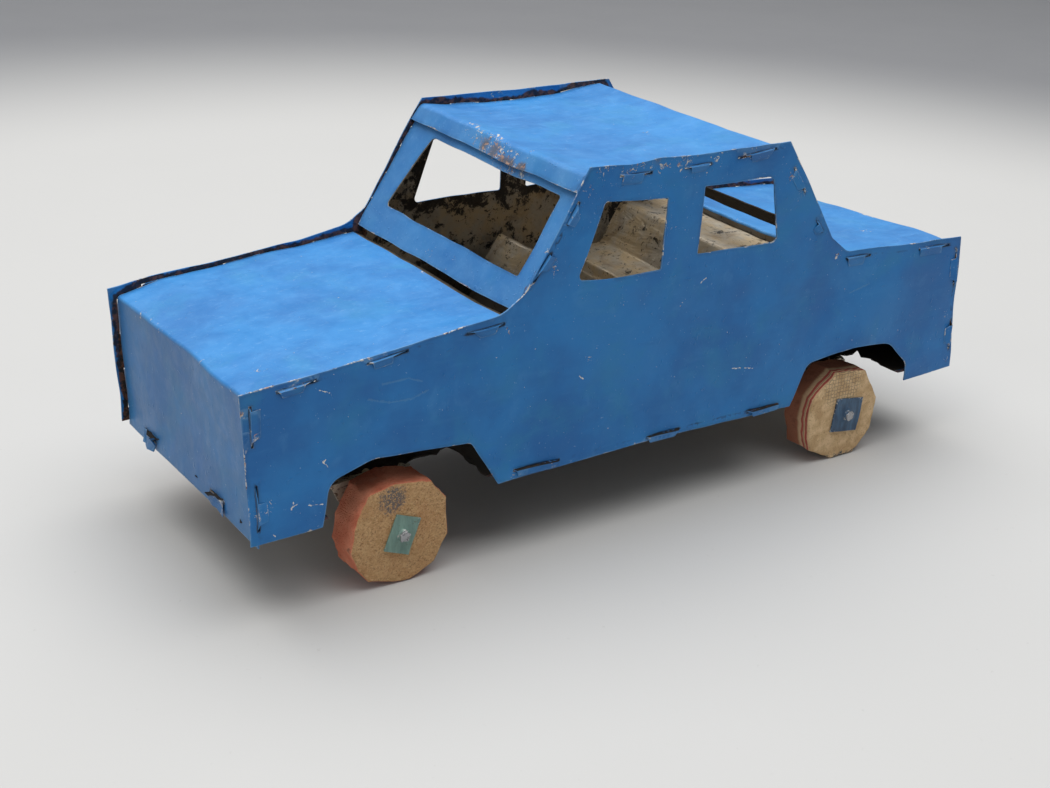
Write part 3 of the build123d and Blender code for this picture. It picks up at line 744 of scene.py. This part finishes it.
def sole_front():
    """Red sole rubber with a tan crumb face, and a grey-blue smudge of glue."""
    s = Shader("sole_front")
    depth = s.attribute("depth_mm")
    shade = s.split(s.cells(0.45, "F1", output="Color"))[0]
    fine = s.noise(0.55, 4, 0.75)
    face = s.mix(shade, CRUMB_BROWN, CRUMB_TAN)
    face = s.mix(s.times(s.step(fine, 0.56, 0.64), 0.80), face, CRUMB_PIT)
    face = s.mix(s.times(s.step(fine, 0.40, 0.30), 0.45), face, CRUMB_PALE)
    face = s.mix(s.times(s.step(s.noise(8, 3, 0.6), 0.45, 0.7), 0.40), face, CRUMB_RED)
    smudge = s.math("MULTIPLY_ADD", s.noise(1.1, 4, 0.75), 0.9, s.attribute("smudge"))
    smudge = s.step(smudge, 0.82, 1.10)
    dotted = s.step(s.noise(0.6, 3, 0.7, offset=(3, 6, 6)), 0.42, 0.52)
    face = s.mix(s.times(s.times(smudge, dotted), 0.80), face, GLUE_SMUDGE)
    side = s.mix(s.step(s.noise(9, 4, 0.6, offset=(2, 2, 5)), 0.35, 0.65), SOLE_RED, SOLE_ORANGE)
    pale = s.times(s.step(s.noise(3, 4, 0.7, offset=(5, 1, 1)), 0.54, 0.70), 0.35)
    side = s.mix(pale, side, SOLE_SCUFFED)
    side = s.mix(s.times(s.step(s.noise(4, 4, 0.7, offset=(8, 1, 3)), 0.58, 0.72), 0.55), side, SOLE_DIRT)
    on_side = s.step(s.math("MULTIPLY_ADD", fine, 0.5, depth), 0.50, 0.75)
    base = s.mix(on_side, face, side)
    grain = s.bump(s.cells(0.5, "F1"), 0.28, 1.0)
    crumbs = s.bump(fine, 0.40, 1.0, under=grain)
    cut = s.bump(s.noise(1.6, 4, 0.7, stretch=(1, 0.22, 1)), 0.35, 0.9, under=crumbs)
    return s.finish(colour=base, rough=0.9, normal=cut, specular=0.25)


def sole_rear():
    """Layered sole: tan foam with two red layers near the outer face, redder inside."""
    s = Shader("sole_rear")
    depth = s.math("MULTIPLY_ADD", s.noise(5, 3, 0.6), 0.8, s.attribute("depth_mm"))
    fine = s.noise(0.55, 3, 0.7)
    face = s.mix(s.step(s.noise(5, 4, 0.65), 0.35, 0.65), FOAM_BROWN, FOAM_TAN)
    face = s.mix(s.times(s.step(fine, 0.55, 0.68), 0.60), face, FOAM_PIT)
    pressed = s.step(s.cells(1.30, "DISTANCE_TO_EDGE", jitter=0.30), 0.13, 0.03)
    pressed = s.times(pressed, s.step(s.attribute("smudge"), 0.05, 0.45))
    face = s.mix(s.times(pressed, 0.60), face, PRINT_DARK)
    side = s.mix(s.step(depth, 5.0, 6.4), FOAM_CREAM, FOAM_INNER)
    for low, high in ((1.4, 2.3), (3.1, 4.1)):
        band = s.times(s.step(depth, low - 0.1, low + 0.1), s.step(depth, high + 0.1, high - 0.1))
        side = s.mix(s.times(band, 0.95), side, LAYER_RED)
    line = s.times(s.step(depth, 2.6, 2.75), s.step(depth, 2.98, 2.83))
    side = s.mix(s.times(line, 0.6), side, GLUE_LINE)
    side = s.mix(s.times(s.step(s.noise(4, 4, 0.7, offset=(3, 1, 3)), 0.56, 0.72), 0.5), side, FOAM_DIRT)
    low_down = s.math("MULTIPLY_ADD", s.split(s.mm)[2], -0.10, s.noise(4, 3, 0.6, offset=(6, 6, 1)))
    spill = s.step(low_down, 0.28, 0.38)
    base = s.mix(s.step(depth, 0.85, 1.05), face, side)
    base = s.mix(s.times(spill, s.step(fine, 0.40, 0.55)), base, PAINT_SPILL)
    foam = s.bump(s.noise(0.6, 4, 0.75), 0.32, 1.0)
    layers = s.bump(s.noise(1.6, 3, 0.6, stretch=(0.3, 1.6, 0.3)), 0.2, 0.7, under=foam)
    dents = s.bump(pressed, -0.15, 0.8, under=layers)
    return s.finish(colour=base, rough=0.88, normal=dents, specular=0.25)


def painted_washer(name, paint, dark):
    """Snipped scrap of painted tin, rubbed bright on its corners and burr, with a painted highlight on its
    dome and burr.
    """
    s = Shader(name)
    streak = s.noise(2.0, 4, 0.65, stretch=(1.6, 1, 0.35))
    base = s.mix(s.step(streak, 0.30, 0.75), dark, paint)
    grain = s.noise(1.0, 4, 0.7)
    # Rubbed bare metal at the corners, and a painted highlight on the dome and the burr.
    worn = s.step(s.math("ADD", s.attribute("rub"), s.times(grain, 0.9)), 0.98, 1.12)
    base = s.mix(worn, base, WASHER_RUB_AND_HIGHLIGHT)
    base = s.mix(s.times(s.step(s.noise(1.6, 4, 0.7, offset=(3, 3, 3)), 0.60, 0.68), 0.7), base, WASHER_RUST)
    rough = s.blend(worn, 0.42, 0.35)
    return s.finish(colour=base, rough=rough, metal=s.times(worn, 0.7),
                    normal=s.bump(grain, 0.04, under=s.bump(streak, 0.05)))


def steel_wire():
    """Drawn wire with hammered ends and some rust."""
    s = Shader("steel_wire")
    grain = s.noise(0.9, 4, 0.7)
    base = s.mix(s.step(s.noise(3, 4, 0.7), 0.56, 0.70), WIRE_STEEL, WIRE_RUST)
    base = s.mix(s.times(s.step(grain, 0.56, 0.66), 0.7), base, WIRE_BLACK)
    rough = s.step(grain, 0.3, 0.7, 0.28, 0.55)
    return s.finish(colour=base, rough=rough, metal=0.8, normal=s.bump(grain, 0.06))


def dull_tin():
    """Plain tin of the hidden washers, stained."""
    s = Shader("dull_tin")
    grain = s.noise(1.4, 4, 0.7)
    base = s.mix(s.step(s.noise(4, 4, 0.6), 0.45, 0.65), DULL_TIN, DULL_STAIN)
    rough = s.step(grain, 0.3, 0.7, 0.40, 0.65)
    return s.finish(colour=base, rough=rough, metal=0.6, normal=s.bump(grain, 0.04))


# The smudge beside the hub: how far along, how far up, and how wide. Along is ahead on the left
# wheels and behind on the right ones, and the same holds for the worn corner below.
SMUDGE_ALONG, SMUDGE_UP = 3.0 * MM, 11.5 * MM
SMUDGE_RADIUS = {"front": 8 * MM, "rear": 11 * MM}

# One lower corner of each front wheel is worn off: its distance along from the hub, how wide the
# wear is, and how many millimetres along and up it moves the rubber.
WORN_CORNER_ALONG = 9.0 * MM
WORN_CORNER_RADIUS = 6 * MM
WORN_CORNER_MOVE = (1.8, 2.8)

# Millimetres: a washer's corners are bent by this at most, and its middle is domed by this.
WASHER_BEND = 0.8
WASHER_DOME = 0.9


def hub_of(end):
    """The middle of an axle."""
    low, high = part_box(f"{end}_axle")
    return (low + high) / 2


def wheel_piece(end, side_name, material):
    """A wheel with knife marks and dents, and the measures its layers are coloured by."""
    node = f"{end}_{side_name}_wheel"
    side = 1 if side_name == "left" else -1
    low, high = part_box(node)
    face_y = high.y if side > 0 else -low.y
    hub = hub_of(end)
    bm = node_bmesh(node)
    cut_into_grid(bm, WHEEL_GRID)
    bm.normal_update()
    depth = [(face_y - side * v.co.y) / MM for v in bm.verts]
    smudge_at = Vector((hub.x + side * SMUDGE_ALONG, side * face_y, hub.z + SMUDGE_UP))
    smudge = [max(0.0, 1 - (v.co - smudge_at).length / SMUDGE_RADIUS[end]) for v in bm.verts]
    corner_at = Vector((hub.x + side * WORN_CORNER_ALONG, 0, 0))
    shift = Vector((11.0 * (end == "front"), 5.0 * side, 2.0))
    moves = []
    for vert in bm.verts:
        out = vert.co - hub
        radius = math.hypot(out.x, out.z)
        near_hub = smooth(2.5 * MM, 5 * MM, radius)
        above_floor = smooth(0.2 * MM, 2.0 * MM, vert.co.z)
        lumps = noise.noise(vert.co / (6.5 * MM) + shift) * 0.6
        lumps += noise.noise(vert.co / (2.2 * MM) + shift) * 0.35
        at_rim = smooth(10 * MM, 14 * MM, radius)
        across = noise.noise(Vector((out.x, 0, out.z)) / (9 * MM) + shift) * 0.30
        outward = Vector((out.x, 0, out.z)).normalized() if radius > 1e-6 else Vector()
        move = outward * lumps * at_rim * above_floor
        move.y += across * near_hub * 0.5 - side * 0.25 * near_hub * smooth(0.2, 0.6, abs(across))
        if end == "front":
            from_corner = Vector((vert.co.x, 0, vert.co.z)) - corner_at
            cut = math.exp(-(from_corner.length / WORN_CORNER_RADIUS) ** 2)
            move += Vector((side * WORN_CORNER_MOVE[0], 0, WORN_CORNER_MOVE[1])) * cut
        moves.append(move * MM)
    for vert, move in zip(bm.verts, moves):
        vert.co += move
    mesh = bpy.data.meshes.new(node + "_rubber")
    bm.to_mesh(mesh)
    bm.free()
    write_points(mesh, "depth_mm", depth)
    write_points(mesh, "smudge", smudge)
    return finish_piece(node, mesh, material, node, RUBBER_SHARP)


def washer_piece(end, side_name, place, material):
    """A washer bent over its wheel and domed in the middle; its rub measure is partly wear and partly a
    painted highlight on the dome and burr.
    """
    node = f"{end}_{side_name}_{place}_washer"
    side = 1 if side_name == "left" else -1
    hub = hub_of(end)
    bm = node_bmesh(node)
    rims = tree_of_edges(bm, *RIM_ANGLES)
    cut_into_grid(bm, WASHER_GRID)
    shift = Vector((4.0 * (end == "front"), 3.0 * side, 1.0))
    rub = []
    for vert in bm.verts:
        out = vert.co - hub
        radius = math.hypot(out.x, out.z) / MM
        dome = math.exp(-(radius / 2.6) ** 2)
        corner = smooth(4.0, 8.0, radius)
        burr = smooth(0.6 * MM, 0.1 * MM, rims.find(vert.co)[2])
        # The dome and the burr are brightened as a painted highlight; the corners as rubbed wear.
        rub.append(max(dome ** 3, 0.5 * corner, 0.55 * burr))
        bend = WASHER_BEND * corner * noise.noise(Vector((out.x, 0, out.z)) / (5 * MM) + shift)
        vert.co.y += side * MM * (place == "outer") * (max(0.0, bend) + WASHER_DOME * dome)
    mesh = bpy.data.meshes.new(node + "_tin")
    bm.to_mesh(mesh)
    bm.free()
    write_points(mesh, "rub", rub)
    return finish_piece(node, mesh, material, f"{end}_axle", TIN_SHARP)


def axle_piece(end, material):
    """The axle wire, its ends hammered into ragged heads."""
    node = f"{end}_axle"
    hub = hub_of(end)
    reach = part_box(node)[1].y
    bm = node_bmesh(node)
    cut_into_grid(bm, WIRE_GRID)
    at_ends = [e for e in bm.edges if abs(e.verts[0].co.y) > reach - 1 * MM]
    bmesh.ops.subdivide_edges(bm, edges=at_ends, cuts=2, use_grid_fill=True)
    for vert in bm.verts:
        at_end = smooth(reach - 0.8 * MM, reach - 0.2 * MM, abs(vert.co.y))
        out = vert.co - hub
        radius = math.hypot(out.x, out.z)
        ragged = noise.noise(vert.co / (0.9 * MM)) * 0.7 * MM * at_end * smooth(0.3 * MM, 1.2 * MM, radius)
        longer = at_end * MM * (0.9 * smooth(1.8 * MM, 0.2 * MM, radius) - 0.35)
        vert.co += Vector((out.x, 0, out.z)).normalized() * ragged
        vert.co.y += math.copysign(longer, vert.co.y)
    mesh = bpy.data.meshes.new(node + "_wire")
    bm.to_mesh(mesh)
    bm.free()
    return finish_piece(node, mesh, material, node, WIRE_SHARP)


# ----------------------------------------------------------------------------- stage
CAMERA_PLACE = Vector((0.2851, 0.3835, 0.2294))
CAMERA_HEADING = 234.76  # degrees from +X towards +Y
CAMERA_TILT = 23.37  # degrees down
CAMERA_ROLL = 2.86
CAMERA_LENS = 54.8

# Millimetres from the middle of the car between which the floor goes from near to far colour.
FLOOR_FADE = (430, 760)

AIM = Vector((0, 0, 0.05))  # where every lamp points
# Each lamp: name, place, size and watts.
LIGHTS = (("top", (-0.06, -0.14, 1.20), 1.8, 29.0),
          ("front", (1.20, 0.30, 0.60), 0.7, 2.4))
SKY_COLOUR = (0.93, 0.96, 1.0, 1)
SKY_STRENGTH = 0.27


def make_camera():
    """The camera, looking at the car's left front corner from above."""
    heading, tilt, roll = (math.radians(a) for a in (CAMERA_HEADING, CAMERA_TILT, CAMERA_ROLL))
    ahead = Vector((math.cos(heading) * math.cos(tilt), math.sin(heading) * math.cos(tilt), -math.sin(tilt)))
    level = ahead.cross(Vector((0, 0, 1))).normalized()
    up = level.cross(ahead)
    right = level * math.cos(roll) + up * math.sin(roll)
    up = up * math.cos(roll) - level * math.sin(roll)
    data = bpy.data.cameras.new("camera")
    data.lens = CAMERA_LENS
    data.clip_start = 0.01
    camera = bpy.data.objects.new("camera", data)
    turn = Matrix((right, up, -ahead)).transposed().to_4x4()
    camera.matrix_world = Matrix.Translation(CAMERA_PLACE) @ turn
    bpy.context.scene.collection.objects.link(camera)
    bpy.context.scene.camera = camera


def make_floor():
    """Pale flat floor, painted darker far from the car where the light falls off."""
    bpy.ops.mesh.primitive_plane_add(size=8)
    floor = bpy.context.object
    floor.name = "floor"
    s = Shader("pale_floor")
    place = s.vector("MULTIPLY", s.mm, (1, 1, 0))
    far = s.step(s.value("LENGTH", place), *FLOOR_FADE)
    base = s.mix(far, FLOOR_NEAR, FLOOR_FAR)
    specks = s.step(s.noise(2.4, 2, 0.5), 0.72, 0.78)
    base = s.mix(s.times(specks, 0.15), base, FLOOR_SPECK)
    base = s.mix(s.times(s.noise(60, 3, 0.6), 0.10), base, FLOOR_CLOUD)
    floor.data.materials.append(s.finish(colour=base, rough=0.7, specular=0.2))


def make_light(name, place, size, power):
    """A square soft light aimed at the car."""
    data = bpy.data.lights.new(name, "AREA")
    data.size = size
    data.energy = power
    light = bpy.data.objects.new(name, data)
    light.location = place
    light.rotation_euler = (AIM - Vector(place)).to_track_quat("-Z", "Y").to_euler()
    bpy.context.scene.collection.objects.link(light)


def make_world():
    """An even, slightly blue sky."""
    world = bpy.data.worlds.new("studio")
    world.use_nodes = True
    background = world.node_tree.nodes["Background"]
    background.inputs["Color"].default_value = SKY_COLOUR
    background.inputs["Strength"].default_value = SKY_STRENGTH
    bpy.context.scene.world = world


# ------------------------------------------------------------------------------ make
make_camera()
make_floor()
for lamp in LIGHTS:
    make_light(*lamp)
make_world()
bpy.context.scene.view_settings.view_transform = "Standard"

tin = blue_over_tin()
for node in frame["record"]["behaviour"]["bodies"][SHELL]:
    tin_piece(node, tin)

rubber = {"front": sole_front(), "rear": sole_rear()}
washer_paint = {"front": painted_washer("washer_green", WASHER_GREEN, WASHER_DARK_GREEN),
                "rear": painted_washer("washer_blue", WASHER_BLUE, WASHER_DARK_BLUE)}
wire = steel_wire()
plain = dull_tin()
for end in ("front", "rear"):
    axle_piece(end, wire)
    for side_name in ("left", "right"):
        wheel_piece(end, side_name, rubber[end])
        washer_piece(end, side_name, "outer", washer_paint[end])
        washer_piece(end, side_name, "inner", plain)
